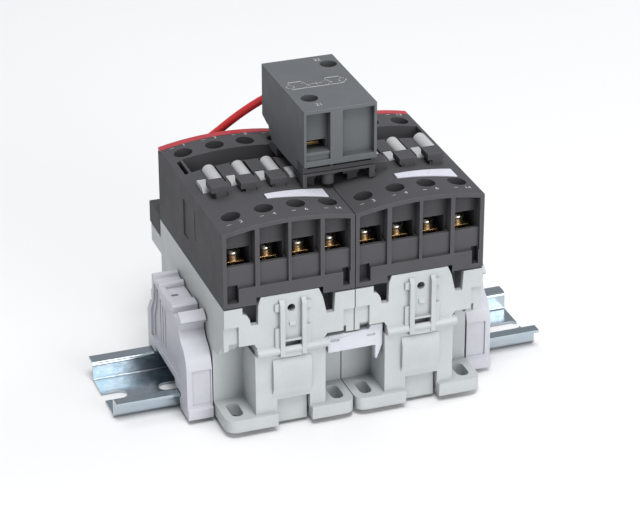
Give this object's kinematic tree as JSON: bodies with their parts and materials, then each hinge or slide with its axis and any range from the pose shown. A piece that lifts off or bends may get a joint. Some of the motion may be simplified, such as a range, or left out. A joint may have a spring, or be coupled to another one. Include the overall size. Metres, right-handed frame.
{
  "type": "reversing contactor set",
  "caption": "Contactors side by side on a perforated mounting rail between end stops, with an interlock block plugged across them and a wire link.",
  "frame": {"origin": "middle of the footprint, on the underside of the rail", "axes": "+X along the rail towards the right contactor, +Y towards the line side, +Z away from the mounting plate"},
  "size_m": [0.152, 0.092, 0.104],
  "materials": {
    "zinc": "zinc plated sheet",
    "stop_plastic": "moulded, lavender grey",
    "clip_plastic": "moulded, bluish white",
    "dark_plastic": "moulded, dark grey",
    "grey_plastic": "moulded, mid grey",
    "white_plastic": "moulded, off-white",
    "label_plastic": "smooth label",
    "red_plastic": "moulded, red",
    "wire_insulation": "soft red insulation",
    "screw_steel": "plated steel",
    "core_steel": "laminated magnet steel",
    "brass": "plated terminal metal",
    "copper": "bare and enamelled copper"
  },
  "bodies": {
    "fixed": {"din_rail": "zinc", "end_stop_left": "stop_plastic", "end_stop_right": "stop_plastic", "clip_front": "clip_plastic", "clip_rear": "clip_plastic", "interlock_base": "dark_plastic", "interlock_housing": "grey_plastic", "rocker_pin": "screw_steel", "interlock_terminal_front": "brass", "interlock_terminal_back": "brass", "jumper_wire": "wire_insulation", "base_left": "white_plastic", "housing_left": "dark_plastic", "stripe_left": "red_plastic", "marker_left": "label_plastic", "coil_terminals_left": "dark_plastic", "core_left": "core_steel", "coil_left": "copper", "return_spring_left": "screw_steel", "load_terminal_left_1": "brass", "line_terminal_left_1": "brass", "load_terminal_left_2": "brass", "line_terminal_left_2": "brass", "load_terminal_left_3": "brass", "line_terminal_left_3": "brass", "load_terminal_left_4": "brass", "line_terminal_left_4": "brass", "base_right": "white_plastic", "housing_right": "dark_plastic", "stripe_right": "red_plastic", "marker_right": "label_plastic", "coil_terminals_right": "dark_plastic", "core_right": "core_steel", "coil_right": "copper", "return_spring_right": "screw_steel", "load_terminal_right_1": "brass", "line_terminal_right_1": "brass", "load_terminal_right_2": "brass", "line_terminal_right_2": "brass", "load_terminal_right_3": "brass", "line_terminal_right_3": "brass", "load_terminal_right_4": "brass", "line_terminal_right_4": "brass"},
    "carrier_left": {"carrier_left": "white_plastic", "armature_left": "core_steel", "bridge_left_1": "copper", "bridge_left_2": "copper", "bridge_left_3": "copper", "bridge_left_4": "copper", "plunger_left": "white_plastic"},
    "rail_latch_left": {"rail_latch_left": "white_plastic"},
    "carrier_right": {"carrier_right": "white_plastic", "armature_right": "core_steel", "bridge_right_1": "copper", "bridge_right_2": "copper", "bridge_right_3": "copper", "bridge_right_4": "copper", "plunger_right": "white_plastic"},
    "rail_latch_right": {"rail_latch_right": "white_plastic"},
    "interlock_rocker": {"interlock_rocker": "white_plastic"}
  },
  "joints": [
    {"name": "carrier_left_press", "type": "slide", "parent": "fixed", "child": "carrier_left", "axis": [0, 0, -1], "range_m": [0, 0.004], "stiffness_N_per_m": 400, "springref_m": -0.005, "deforming": ["return_spring_left"]},
    {"name": "carrier_right_press", "type": "slide", "parent": "fixed", "child": "carrier_right", "axis": [0, 0, -1], "range_m": [0, 0.004], "stiffness_N_per_m": 400, "springref_m": -0.005, "deforming": ["return_spring_right"]},
    {"name": "rail_latch_left_slide", "type": "slide", "parent": "fixed", "child": "rail_latch_left", "axis": [0, -1, 0], "range_m": [0, 0.003], "stiffness_N_per_m": 300, "springref_m": -0.004},
    {"name": "rail_latch_right_slide", "type": "slide", "parent": "fixed", "child": "rail_latch_right", "axis": [0, -1, 0], "range_m": [0, 0.003], "stiffness_N_per_m": 300, "springref_m": -0.004},
    {"name": "interlock_rocker_tilt", "type": "hinge", "parent": "fixed", "child": "interlock_rocker", "pos_m": [0.0016, 0.0047, 0.0796], "axis": [0, 1, 0], "range_deg": [-4, 4]}
  ]
}
